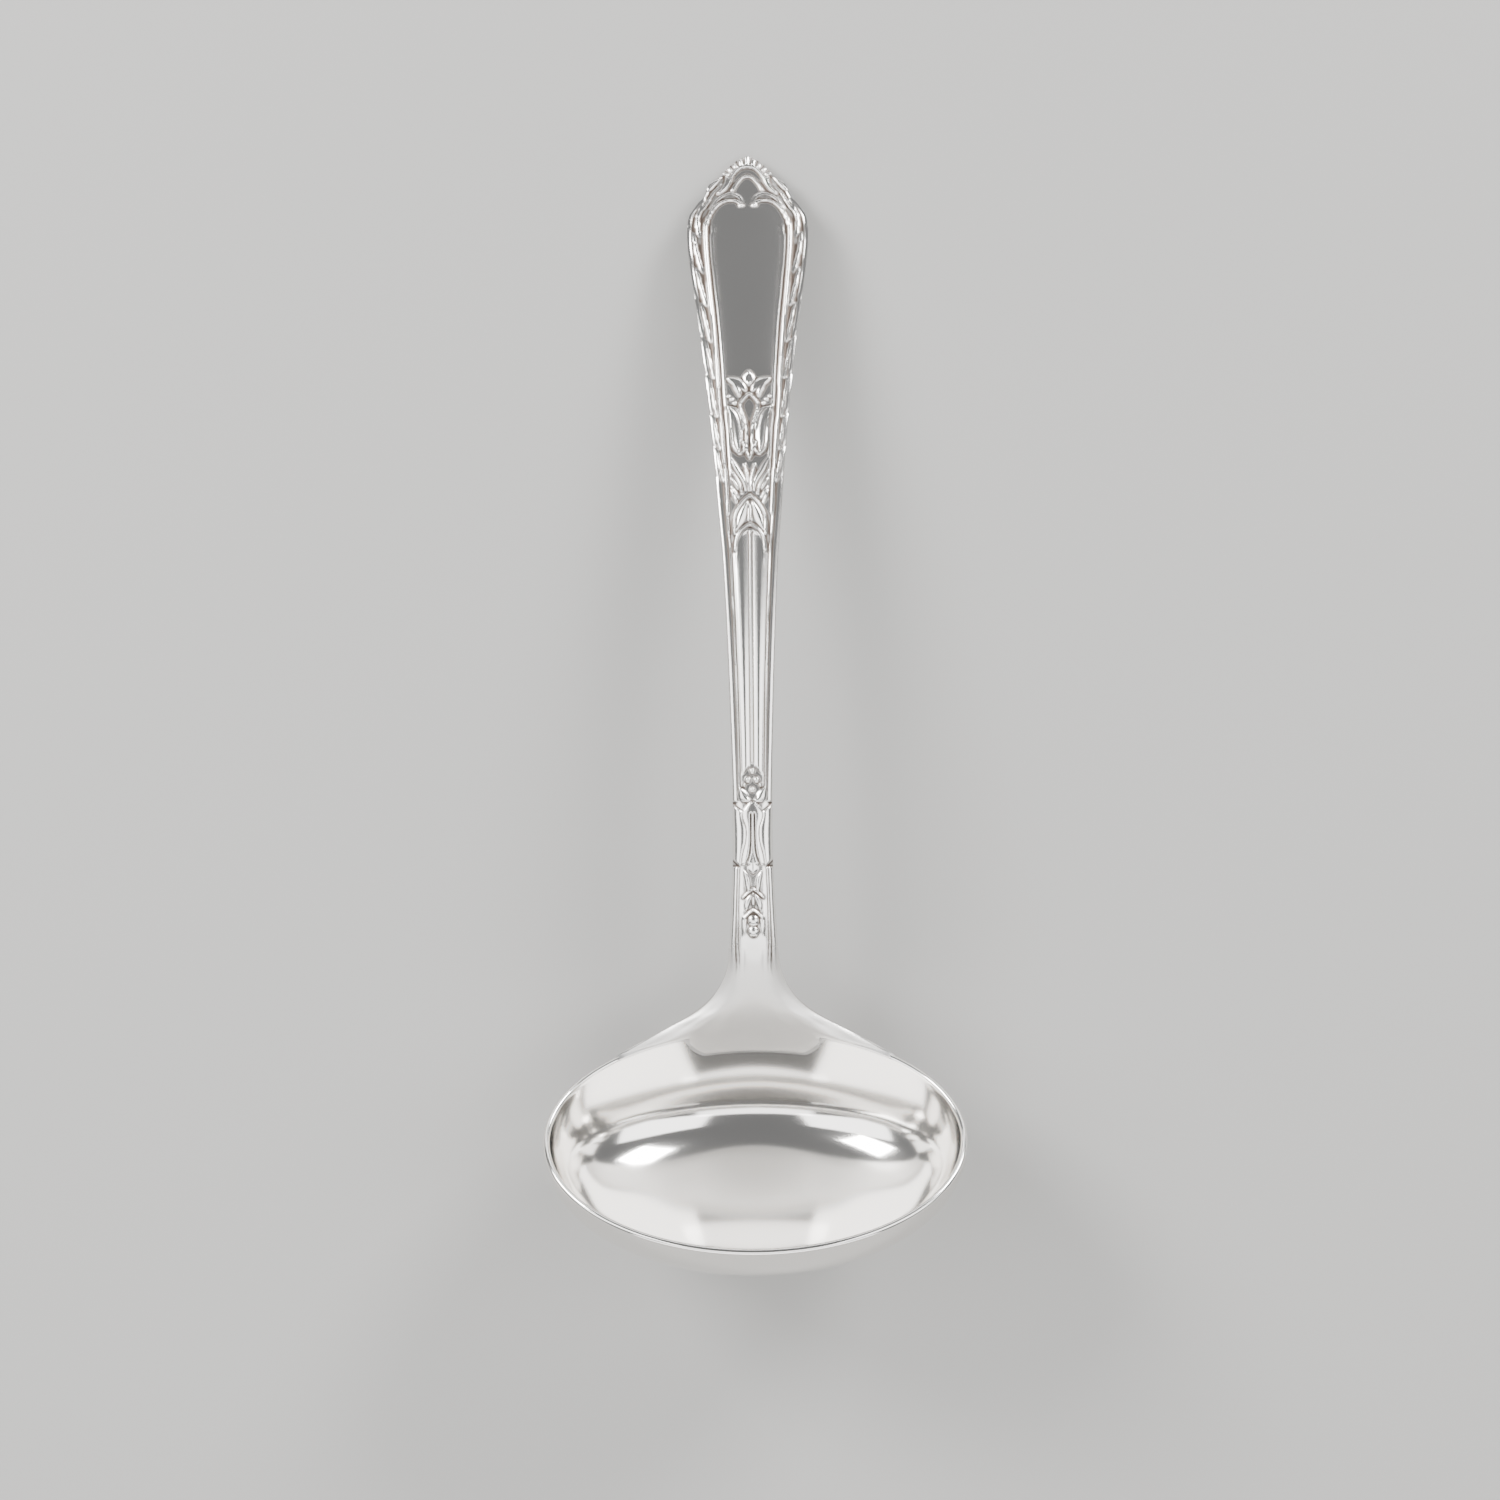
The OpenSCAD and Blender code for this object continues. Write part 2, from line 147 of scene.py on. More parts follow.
def cup_rim(tree, group):
    """The rim: a half round from the outer skin over to the inner one."""
    mesh, across, over = sheet_grid(tree, group["Columns"], RIM_LEVELS)
    turn = calc(tree, "MULTIPLY", across, 2 * math.pi)
    swing = calc(tree, "MULTIPLY", over, math.pi)
    rise = calc(tree, "MAXIMUM", calc(tree, "SINE", swing), 0)
    inset = calc(tree, "MULTIPLY", calc(tree, "SUBTRACT", 1, calc(tree, "COSINE", swing)),
                 calc(tree, "MULTIPLY", group["Wall"], 0.5))
    x = calc(tree, "MULTIPLY", calc(tree, "SUBTRACT", group["Half Width"], inset),
             calc(tree, "COSINE", turn))
    y = calc(tree, "MULTIPLY", calc(tree, "SUBTRACT", group["Half Length"], inset),
             calc(tree, "SINE", turn))
    z = calc(tree, "MULTIPLY", calc(tree, "SUBTRACT", rise, 1), group["Rounding"])
    return lean_back(tree, mesh, x, y, z, group)


cup_tree = bpy.data.node_groups.new("raised_cup", "GeometryNodeTree")
cup_inputs = {
    "Half Width": half_width,
    "Half Length": half_length,
    "Depth": BOWL_DEPTH,
    "Fullness": BOWL_FULLNESS,
    "Floor Back": FLOOR_BACK,
    "Wall": WALL,
    "Rounding": RIM_ROUNDING,
    "Rim Lean": RIM_LEAN,
    "Rim Height": rim_height,
    "Middle": bowl_middle,
}
cup_sockets = {name: add_input(cup_tree, name) for name in cup_inputs}
cup_counts = {"Columns": CUP_COLUMNS + 1, "Levels": CUP_LEVELS}
cup_sockets.update({name: add_input(cup_tree, name, "NodeSocketInt") for name in cup_counts})
cup_sockets["Silver"] = add_input(cup_tree, "Silver", "NodeSocketMaterial")
cup_tree.interface.new_socket(name="Cup", in_out="OUTPUT", socket_type="NodeSocketGeometry")
cup_in = cup_tree.nodes.new("NodeGroupInput").outputs
cup_join = cup_tree.nodes.new("GeometryNodeJoinGeometry")
for skin in (cup_skin(cup_tree, 0.0, cup_in), cup_skin(cup_tree, cup_in["Wall"], cup_in),
             cup_rim(cup_tree, cup_in)):
    cup_tree.links.new(skin, cup_join.inputs[0])
cup_merge = cup_tree.nodes.new("GeometryNodeMergeByDistance")
cup_merge.inputs["Distance"].default_value = SEAM_GAP
cup_tree.links.new(cup_join.outputs[0], cup_merge.inputs["Geometry"])
cup_real = cup_tree.nodes.new("GeometryNodeRealizeInstances")
cup_tree.links.new(cup_merge.outputs[0], cup_real.inputs[0])
cup_coat = cup_tree.nodes.new("GeometryNodeSetMaterial")
cup_tree.links.new(cup_real.outputs[0], cup_coat.inputs["Geometry"])
cup_tree.links.new(cup_in["Silver"], cup_coat.inputs["Material"])
cup_tree.links.new(cup_coat.outputs[0], cup_tree.nodes.new("NodeGroupOutput").inputs[0])


CLOUD_SCALE, CLOUD_SHARE = 90.0, 0.12
TARNISH_DULLS, MATTE_DULLS = 0.3, 0.3
HAIRLINE_STRETCH = (5200, 500, 2600)
HAIRLINE_SLANT = math.radians(12)
HAIRLINE_DEPTH = 0.02 * MM


def silver(name, colour, tarnish, roughness, scratch):
    """Polished silver plate: fine buffing marks, faint clouds of tarnish and darker recesses."""
    material = bpy.data.materials.new(name)
    material.use_nodes = True
    nodes, links = material.node_tree.nodes, material.node_tree.links
    shader = nodes["Principled BSDF"]
    shader.inputs["Metallic"].default_value = 1.0
    place = nodes.new("ShaderNodeTexCoord").outputs["Object"]

    cloud = nodes.new("ShaderNodeTexNoise")
    cloud.inputs["Scale"].default_value = CLOUD_SCALE
    cloud.inputs["Detail"].default_value = 5.0
    links.new(place, cloud.inputs["Vector"])
    recess = nodes.new("ShaderNodeAttribute")
    recess.attribute_name = "recess"
    dirt = nodes.new("ShaderNodeMath")
    dirt.operation = "MULTIPLY_ADD"
    dirt.use_clamp = True
    dirt.inputs[1].default_value = CLOUD_SHARE
    links.new(cloud.outputs["Fac"], dirt.inputs[0])
    links.new(recess.outputs["Fac"], dirt.inputs[2])
    tint = nodes.new("ShaderNodeMix")
    tint.data_type = "RGBA"
    tint.inputs["A"].default_value = (*colour, 1)
    tint.inputs["B"].default_value = (*tarnish, 1)
    links.new(dirt.outputs[0], tint.inputs["Factor"])
    links.new(tint.outputs["Result"], shader.inputs["Base Color"])

    gloss = nodes.new("ShaderNodeMapRange")
    gloss.inputs["To Min"].default_value = roughness
    gloss.inputs["To Max"].default_value = roughness + TARNISH_DULLS
    links.new(dirt.outputs[0], gloss.inputs["Value"])
    satin = nodes.new("ShaderNodeAttribute")
    satin.attribute_name = "matte"
    dull = nodes.new("ShaderNodeMath")
    dull.operation = "MULTIPLY_ADD"
    dull.inputs[1].default_value = MATTE_DULLS
    links.new(satin.outputs["Fac"], dull.inputs[0])
    links.new(gloss.outputs["Result"], dull.inputs[2])
    links.new(dull.outputs[0], shader.inputs["Roughness"])

    hairlines = nodes.new("ShaderNodeTexNoise")
    hairlines.inputs["Scale"].default_value = 1.0
    hairlines.inputs["Detail"].default_value = 4.0
    stretch = nodes.new("ShaderNodeMapping")
    stretch.inputs["Scale"].default_value = HAIRLINE_STRETCH
    stretch.inputs["Rotation"].default_value = (0, 0, HAIRLINE_SLANT)
    links.new(place, stretch.inputs["Vector"])
    links.new(stretch.outputs[0], hairlines.inputs["Vector"])
    bump = nodes.new("ShaderNodeBump")
    bump.inputs["Strength"].default_value = scratch
    bump.inputs["Distance"].default_value = HAIRLINE_DEPTH
    links.new(hairlines.outputs["Fac"], bump.inputs["Height"])
    links.new(bump.outputs[0], shader.inputs["Normal"])
    return material


bowl_silver = silver("bowl_silver", (0.95, 0.93, 0.9), (0.6, 0.54, 0.5), 0.09, 0.12)

bowl = bpy.data.objects.new("silver_bowl", bpy.data.meshes.new("silver_bowl"))
bpy.context.collection.objects.link(bowl)
cup_modifier = bowl.modifiers.new("raised_cup", "NODES")
cup_modifier.node_group = cup_tree
for name, value in {**cup_inputs, **cup_counts, "Silver": bowl_silver}.items():
    cup_modifier[cup_sockets[name]] = value


def settle(piece):
    """Turns what the modifiers give into the piece's own plain mesh, closed and facing outward."""
    bpy.context.view_layer.update()
    shown = piece.evaluated_get(bpy.context.evaluated_depsgraph_get())
    mesh = bpy.data.meshes.new_from_object(shown)
    piece.modifiers.clear()
    piece.data = mesh
    tidy_mesh(mesh)


def tidy_mesh(mesh):
    work = bmesh.new()
    work.from_mesh(mesh)
    bmesh.ops.remove_doubles(work, verts=work.verts, dist=SEAM_GAP)
    bmesh.ops.dissolve_degenerate(work, edges=work.edges, dist=SEAM_GAP / 10)
    bmesh.ops.recalc_face_normals(work, faces=work.faces)
    bmesh.ops.triangulate(work, faces=[f for f in work.faces if len(f.verts) > 4])
    work.to_mesh(mesh)
    work.free()
    mesh.polygons.foreach_set("use_smooth", [True] * len(mesh.polygons))
    mesh.update()


settle(bowl)
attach(bowl, "root")
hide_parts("bowl")

# ---------------------------------------------------------------------------------------- handle
# The handle is one bar of nickel silver, struck face up in a die, trimmed, bent to its arch and
# silver plated. The die leaves a leaf border, a plain shield panel, a flower and leaf drop above a
# reeded stem, and a second flower and beads at the neck. Below the neck it flares into two
# shoulders that sit on the rim, and a tongue reaches down inside the back wall of the bowl.
# Lengths in this section are millimetres; `back` is the level distance back from the tip.
HANDLE_REACH = 150
RISE_RUN, RISE_HEIGHT = 14, 14.5
ARCH_RUN, ARCH_HEIGHT = 76, 19
PANEL_HALF = 9.3
STEM_HALF = 2.95
NECK_THICK, STEM_THICK, TIP_THICK = 2.8, 2.1, 1.5
TONGUE_THICK = 0.5
TONGUE_EDGE = 0.05
TONGUE_HALF = 0.52
TONGUE_SLANT, TONGUE_CURVE = 0.3, 1.6
TONGUE_FEATHER = 0.45
EVEN_THINNING = 0.3
SHOULDER_EDGE = 0.2
TONGUE_DROP = math.radians(10)
FILM = 0.1
SHOULDER_TURN = math.radians(40)

rim_half_width = half_width / MM
rim_half_length = half_length / MM
wall = WALL / MM
cup_depth = BOWL_DEPTH / MM
rim_level = rim_height / MM
root_y = rim_half_length * math.cos(RIM_LEAN)
root_z = rim_level - rim_half_length * math.sin(RIM_LEAN)
pulls = np.array([
    [root_y, root_z],
    [root_y + RISE_RUN, root_z + RISE_HEIGHT],
    [root_y + ARCH_RUN, ARCH_HEIGHT],
    [HANDLE_REACH, 0],
])


def bar_line(t):
    t = np.asarray(t, float)[..., None]
    return ((1 - t) ** 3 * pulls[0] + 3 * t * (1 - t) ** 2 * pulls[1]
            + 3 * t ** 2 * (1 - t) * pulls[2] + t ** 3 * pulls[3])


def bar_up(t):
    """Upward normal of the bar's line, as level and height parts."""
    t = np.asarray(t, float)[..., None]
    run = ((1 - t) ** 2 * (pulls[1] - pulls[0]) + 2 * t * (1 - t) * (pulls[2] - pulls[1])
           + t ** 2 * (pulls[3] - pulls[2]))
    run /= np.linalg.norm(run, axis=-1, keepdims=True)
    return np.stack([-run[..., 1], run[..., 0]], -1)


def fair(table, place):
    """Smooth curve through a table of (place, value) pairs."""
    xs, ys = np.array(table, float).T
    slopes = np.zeros(len(xs))
    slopes[1:-1] = (ys[2:] - ys[:-2]) / (xs[2:] - xs[:-2])
    slopes[0] = (ys[1] - ys[0]) / (xs[1] - xs[0])
    place = np.clip(place, xs[0], xs[-1])
    n = np.clip(np.searchsorted(xs, place, side="right") - 1, 0, len(xs) - 2)
    gap = xs[n + 1] - xs[n]
    s = (place - xs[n]) / gap
    return (ys[n] * (1 + 2 * s) * (1 - s) ** 2 + slopes[n] * gap * s * (1 - s) ** 2
            + ys[n + 1] * s ** 2 * (3 - 2 * s) + slopes[n + 1] * gap * s ** 2 * (s - 1))


def ease(s):
    """0 to 1 with a slow start and a slow end, as s goes from 0 to 1."""
    return s * s * (3 - 2 * s)


TIP_TABLE = [
    (0, 0.1 * PANEL_HALF), (0.25, 0.16 * PANEL_HALF), (0.7, 0.225 * PANEL_HALF),
    (1.2, 0.285 * PANEL_HALF), (1.7, 0.345 * PANEL_HALF), (2.3, 0.39 * PANEL_HALF),
    (2.75, 0.42 * PANEL_HALF), (3.1, 0.495 * PANEL_HALF), (3.6, 0.57 * PANEL_HALF),
    (4.3, 0.635 * PANEL_HALF), (5.0, 0.675 * PANEL_HALF), (5.7, 0.7 * PANEL_HALF),
    (6.4, 0.735 * PANEL_HALF), (7.1, 0.81 * PANEL_HALF), (8.0, 0.88 * PANEL_HALF),
    (9.2, 0.965 * PANEL_HALF), (10.7, PANEL_HALF), (13.5, PANEL_HALF),
    (16.6, 0.97 * PANEL_HALF), (21.4, 0.9 * PANEL_HALF), (27.6, 0.8 * PANEL_HALF),
    (33.9, 0.72 * PANEL_HALF), (46.4, 0.59 * PANEL_HALF), (54, 0.525 * PANEL_HALF),
    (63, 0.45 * PANEL_HALF), (77, STEM_HALF + 0.6), (92, STEM_HALF + 0.15),
    (100, STEM_HALF), (110, STEM_HALF),
]
SHOULDER_HALF = rim_half_width * math.sin(SHOULDER_TURN)
ROOT_TABLE = [
    (0, SHOULDER_HALF), (0.25, 0.955 * SHOULDER_HALF), (0.7, 0.895 * SHOULDER_HALF),
    (1.3, 0.81 * SHOULDER_HALF), (2.8, 0.62 * SHOULDER_HALF), (4.8, 0.4 * SHOULDER_HALF),
    (6.8, 0.28 * SHOULDER_HALF), (9.8, 0.197 * SHOULDER_HALF),
    (14, STEM_HALF + 0.6), (24, STEM_HALF + 0.1), (30, STEM_HALF),
]
STEM_START = 100


def half_at(back):
    out = HANDLE_REACH - back - root_y
    return np.where(back > STEM_START, fair(ROOT_TABLE, out), fair(TIP_TABLE, back))


TRAIL = rim_half_length * (1 - math.cos(SHOULDER_TURN)) * math.cos(RIM_LEAN)
LIFT = rim_half_length * (1 - math.cos(SHOULDER_TURN)) * math.sin(RIM_LEAN)
TRAIL_TABLE = [(0, TRAIL), (1.3, 0.8 * TRAIL), (2.8, 0.58 * TRAIL), (6, 0.22 * TRAIL), (12, 0)]
LIFT_TABLE = [(0, LIFT), (1.3, 0.28 * LIFT), (2.8, -0.2 * LIFT), (5, -0.34 * LIFT), (12, 0)]
BAR_RUN = HANDLE_REACH - root_y
THICK_TABLE = [
    (0, wall + FILM + TONGUE_THICK), (6, NECK_THICK), (16, NECK_THICK), (40, STEM_THICK),
    (100, STEM_THICK), (BAR_RUN, TIP_THICK),
]
EDGE_TABLE = [
    (0, SHOULDER_EDGE), (1.3, 0.35), (2.8, 0.75), (6, 0.55 * NECK_THICK),
    (40, 0.6 * STEM_THICK), (100, 0.6 * STEM_THICK),
    (BAR_RUN - 4, TIP_THICK * 0.8), (BAR_RUN, TIP_THICK * 0.7),
]


def bow(place):
    """Shape of a row across the bar: 0 at its middle, 1 at its ends, after the oval of the rim."""
    turn = np.arcsin(place * math.sin(SHOULDER_TURN))
    return (1 - np.cos(turn)) / (1 - math.cos(SHOULDER_TURN))


def feather(place):
    """Full thickness over the middle, drawn out to nothing at 1 and -1."""
    return ease(np.clip((1 - np.abs(place)) / TONGUE_FEATHER, 0, 1))


def tongue_edge(span):
    """How far down the tongue reaches: full over its middle, slanting up to nothing at span 1."""
    return 1 - (1 - np.clip((1 - span) / TONGUE_SLANT, 0, 1)) ** TONGUE_CURVE


def cup_point(inset, turn, drop, raise_by=0.0):
    """A point on the cup, in millimetres, with the bowl's middle as zero and the table as floor."""
    out = np.cos(drop) ** (2 / BOWL_FULLNESS)
    down = np.sin(drop) ** (2 / BOWL_FULLNESS)
    x = (rim_half_width - inset) * out * np.sin(turn)
    y = (rim_half_length - inset) * out * np.cos(turn) + FLOOR_BACK / MM * down ** 3
    z = -(cup_depth - inset) * down + raise_by
    return np.stack([
        x,
        y * math.cos(RIM_LEAN) + z * math.sin(RIM_LEAN),
        -y * math.sin(RIM_LEAN) + z * math.cos(RIM_LEAN) + rim_level,
    ], -1)


# The rows lie closer together where the die leaves detail.
THROAT_START, THROAT_ROWS = 127, 48
ROW_STEPS = [(0, 14, 0.12), (14, 33.6, 0.25), (33.6, 63, 0.12), (63, 93, 0.4), (93, 120.6, 0.12),
             (120.6, THROAT_START, 0.25)]
FACE_COLUMNS = 84
UNDER_STRIDE = 6
backs = np.concatenate([np.arange(a, b, step) for a, b, step in ROW_STEPS]
                       + [np.linspace(THROAT_START, BAR_RUN, THROAT_ROWS)])
fine_t = np.linspace(0, 1, 6001)
row_t = np.interp(HANDLE_REACH - backs, bar_line(fine_t)[:, 0], fine_t)
row_t[-1] = 0
columns = np.linspace(-1, 1, FACE_COLUMNS + 1)
row_half = half_at(backs)
x_map = row_half[:, None] * columns
ax_map = np.abs(x_map)
back_map = np.broadcast_to(backs[:, None], x_map.shape)
edge_map = row_half[:, None] - ax_map


# What the die strikes. Every stroke adds to `struck` (height over the ground) by the higher of two.
struck = np.zeros_like(ax_map)


def trace(points, steps=9):
    """A smooth line through a few points, as short straight runs."""
    p = np.array(points, float)
    p = np.vstack([2 * p[0] - p[1], p, 2 * p[-1] - p[-2]])
    runs = []
    for a, b, c, d in zip(p, p[1:], p[2:], p[3:]):
        s = np.arange(steps)[:, None] / steps
        runs.append(0.5 * (2 * b + (c - a) * s + (2 * a - 5 * b + 4 * c - d) * s ** 2
                           + (3 * b - a - 3 * c + d) * s ** 3))
    return np.vstack(runs + [p[-2:-1]])


def near(points, reach):
    """Rows near a line, and for each of their points its distance to the line and place along it."""
    line = trace(points) if len(points) > 2 else np.array(points, float)
    rows = np.nonzero((backs > line[:, 1].min() - reach) & (backs < line[:, 1].max() + reach))[0]
    rows = slice(rows[0], rows[-1] + 1)
    spot = np.stack([ax_map[rows], back_map[rows]], -1)
    lengths = np.linalg.norm(np.diff(line, axis=0), axis=1)
    starts = np.concatenate([[0], np.cumsum(lengths)])
    best = np.full(spot.shape[:2], 1e9)
    along = np.zeros(spot.shape[:2])
    for n, (a, b) in enumerate(zip(line, line[1:])):
        run = b - a
        s = np.clip(((spot - a) @ run) / max(run @ run, 1e-12), 0, 1)
        gap = np.linalg.norm(spot - a - s[..., None] * run, axis=-1)
        closer = gap < best
        best = np.where(closer, gap, best)
        along = np.where(closer, (starts[n] + s * lengths[n]) / starts[-1], along)
    return rows, best, along


def ridge(points, half, height, taper=0.0):
    """A rounded moulding along a line, as wide all along or drawn out to thin ends."""
    rows, gap, along = near(points, half)
    size = 1 - taper + taper * np.sqrt(np.clip(4 * along * (1 - along), 0, 1))
    bump = height * size * np.sqrt(np.clip(1 - (gap / (half * size + 1e-6)) ** 2, 0, 1))
    struck[rows] = np.maximum(struck[rows], bump)


def leaf(points, half, height, fat=0.5, vein=0.0):
    """A leaf or petal on a spine, widest at `fat` of its length, with a vein cut down it."""
    rows, gap, along = near(points, half)
    bend = math.log(0.5) / math.log(fat)
    wide = half * np.sin(math.pi * np.clip(along, 0, 1) ** bend) ** 0.7 + 1e-6
    body = np.clip(1 - (gap / wide) ** 1.5, 0, 1)
    bump = height * body * (1 - vein * np.exp(-(gap / 0.12) ** 2))
    struck[rows] = np.maximum(struck[rows], bump)


def bead(x, back, radius, height):
    rows, gap, _ = near([(x, back), (x + 1e-3, back)], radius)
    struck[rows] = np.maximum(struck[rows], height * np.sqrt(np.clip(1 - (gap / radius) ** 2, 0, 1)))


def groove(points, half, depth):
    """A line cut down into what is already struck."""
    rows, gap, _ = near(points, 2 * half)
    struck[rows] -= depth * np.exp(-(gap / half) ** 2) * (struck[rows] > 0)


def hollow(points, half, depth):
    """A soft dish pressed into a petal."""
    rows, gap, _ = near(points, 2 * half)
    struck[rows] -= depth * np.exp(-(gap / half) ** 2)


def between(low, high, value, soft=0.6):
    """1 between two places along the handle, fading out at both ends."""
    rise = np.clip((value - low) / soft + 0.5, 0, 1)
    fall = np.clip((high - value) / soft + 0.5, 0, 1)
    return ease(rise) * ease(fall)


# Reeded stem: an outer band, a thin line, a broad convex reed and a fine middle ridge.
INNER_TABLE = [(0, 2.2), (50, 1.75), (63, 1.65), (77, 1.58), (92, 1.5), (110, 1.28), (120, 1.5),
               (127, 2.2)]
inner_map = row_half[:, None] - fair(INNER_TABLE, back_map)


def rounded(value, low, high):
    """Convex band between two values: 0 at its edges, 1 over its middle."""
    middle, reach = (low + high) / 2, (high - low) / 2
    return np.sqrt(np.clip(1 - np.abs((value - middle) / reach) ** 2.2, 0, 1))


def arched(value, low, high):
    """The same band with lower shoulders, so that no part of it lies flat."""
    middle, reach = (low + high) / 2, (high - low) / 2
    return np.clip(1 - np.abs((value - middle) / reach) ** 1.8, 0, 1)


outer_band = 0.34 * arched(edge_map, -0.9, 0.86)
thin_line = 0.26 * rounded(ax_map, inner_map + 0.32, inner_map + 0.62)
broad_reed = 0.26 * arched(ax_map, 0.3, np.maximum(inner_map + 0.1, 0.5))
middle_line = 0.22 * rounded(ax_map, -0.2, 0.2)
stem = between(57.5, 94.4, back_map, 1.2)
reed_foot = 93.6 + 1.25 * ax_map
reed_head = 58.2 + 0.45 * ax_map ** 2
reeds = np.clip((reed_foot - back_map) / 0.3, 0, 1) * np.clip((back_map - reed_head) / 0.5, 0, 1)
struck = np.maximum(struck, reeds * np.maximum(broad_reed, middle_line))
lines_run = between(53.5, 124.5, back_map, 3)
skip_lower_flower = 1 - between(97.4, 108.6, back_map, 1)
struck = np.maximum(struck, lines_run * skip_lower_flower * thin_line)
struck = np.maximum(struck, between(49.5, 124.5, back_map, 5) * outer_band)

# Border beside the panel: overlapping long leaves, each an edge rib and an inner rib that drifts in.
BORDER_TABLE = [(0, 5.5), (8, 6.2), (10.5, 6.5), (13, 6.75), (25, 5.6), (38.6, 4.75), (46, 4.15),
                (54, 3.5)]
LEAF_STARTS = [5.2, 10.9, 16.6, 22.2, 28.1, 34.1, 40.2, 45.3, 50.2]
LEAF_SLANT = 0.9
slanted = back_map - LEAF_SLANT * edge_map
border_wide = row_half[:, None] - fair(BORDER_TABLE, back_map)
for start, end in zip(LEAF_STARTS, LEAF_STARTS[1:]):
    along = (slanted - start) / (end - start)
    on = (along > 0) & (along < 1) & (back_map > 6.5)
    swell = np.sqrt(np.clip(along * (1 - along) * 4, 0, 1)) ** 0.6
    edge_rib = rounded(edge_map, -0.5, 0.62) * 0.36
    drift = 0.32 * border_wide + 0.25 * border_wide * along ** 2
    inner_rib = rounded(edge_map, drift, drift + 0.34 + 0.16 * border_wide * along) * 0.3
    struck = np.where(on, np.maximum(struck, swell * np.maximum(edge_rib, inner_rib)), struck)

# Frame of the shield panel: a heart-shaped moulding with a finer line inside it.
frame_line = [(1.0, 7.6), (1.65, 6.95), (3.4, 6.9), (5.1, 8.0), (6.35, 10.3), (6.6, 13), (6.05, 19.9),
              (5.4, 26.3), (4.95, 32.5), (4.6, 38.6), (4.05, 45.5), (3.6, 51), (3.3, 56)]
ridge(frame_line, 0.3, 0.42, 0.5)
ridge([(5.2, 10.8), (5.5, 13.5), (5.0, 19.9), (4.4, 26.3), (3.95, 32.5), (3.6, 38.6), (3.1, 45.5),
       (2.85, 50)], 0.13, 0.16)
bead(1.0, 7.65, 0.34, 0.42)
ridge([(0.75, 7.2), (1.35, 6.2), (2.7, 5.7), (4.3, 6.4), (5.8, 8.2)], 0.16, 0.2, 0.5)

# The panel inside the frame is very slightly domed.
PANEL_DOME = 0.11
panel_half_map = fair([(7.6, 2.6), (8.6, 4.2), (10.8, 5.05), (13.5, 5.35), (19.9, 4.85), (26.3, 4.25),
                       (32.5, 3.8), (36, 3.5)], back_map)
dome = np.clip(1 - (ax_map / panel_half_map) ** 2, 0, 1) * between(7.6, 34, back_map, 3)
struck = np.maximum(struck, PANEL_DOME * dome)

# Crown, pointed arches and leaf scrolls at the tip.
ridge([(0, 1.3), (0.9, 1.5), (1.8, 2.15), (2.55, 3.2), (3.0, 4.2), (3.7, 5.1), (4.4, 5.6)], 0.34, 0.4)
ridge([(0, 2.9), (0.8, 3.2), (1.7, 4.2), (2.3, 5.2)], 0.24, 0.28)
CROWN_FOCUS = 4.6
FLUTE_PITCH = math.radians(15)
crown_turn = np.arctan2(ax_map, CROWN_FOCUS - back_map)
crown_out = np.hypot(ax_map, CROWN_FOCUS - back_map)
flute = np.abs(np.cos(crown_turn / FLUTE_PITCH * math.pi)) ** 0.6
crown = np.clip((crown_out - 3.2) / 0.25, 0, 1) * between(-1, 2.7, back_map, 0.2)
struck = np.maximum(struck, 0.46 * crown * flute)
leaf([(3.6, 2.7), (4.6, 3.5), (5.6, 4.3), (6.2, 5.2)], 0.6, 0.44, 0.72, 0.5)
ridge([(3.05, 2.8), (3.2, 3.6), (3.45, 4.4), (4.1, 5.3)], 0.26, 0.42, 0.3)
ridge([(6.2, 5.2), (6.9, 6.6), (8.2, 8.2), (8.9, 10)], 0.28, 0.34, 0.4)
ridge([(3.9, 4.2), (5.3, 5.6), (6.4, 7.4), (7.6, 9.2), (8.0, 11)], 0.2, 0.26, 0.6)

# Upper flower: bud, crossed leaves, bead rows, pointed petal and two curled side petals.
leaf([(0, 33.9), (0, 35.1), (0, 36.3)], 1.0, 0.42)
hollow([(0, 34.9), (0, 35.4)], 0.32, 0.2)
leaf([(0.35, 37.2), (1.3, 36.1), (2.4, 35.5), (3.4, 35.05)], 0.85, 0.38, 0.5, 0.35)
leaf([(1.5, 38.0), (1.7, 36.9), (2.5, 35.8)], 0.6, 0.36, 0.5)
for bead_x, bead_back in ((3.2, 37.9), (2.65, 38.35), (2.15, 38.95)):
    bead(bead_x, bead_back, 0.24, 0.3)
ridge([(0, 37.45), (0.75, 38.2), (1.35, 39.2), (1.1, 40.4), (0.6, 42), (0.35, 44.6), (0.4, 46.4),
       (0.0, 47.5)], 0.24, 0.42)
leaf([(3.1, 39.6), (2.35, 41.0), (1.95, 43.2), (1.75, 45.2), (1.6, 46.6)], 1.15, 0.36, 0.45)
ridge([(3.3, 39.5), (2.85, 41), (2.75, 43.4), (2.5, 45.6), (1.6, 46.75), (0.85, 46.2), (0.95, 45.0)],
      0.22, 0.42)
ridge([(3.2, 39.5), (2.0, 39.9), (1.3, 41.0), (0.95, 43)], 0.16, 0.34, 0.3)

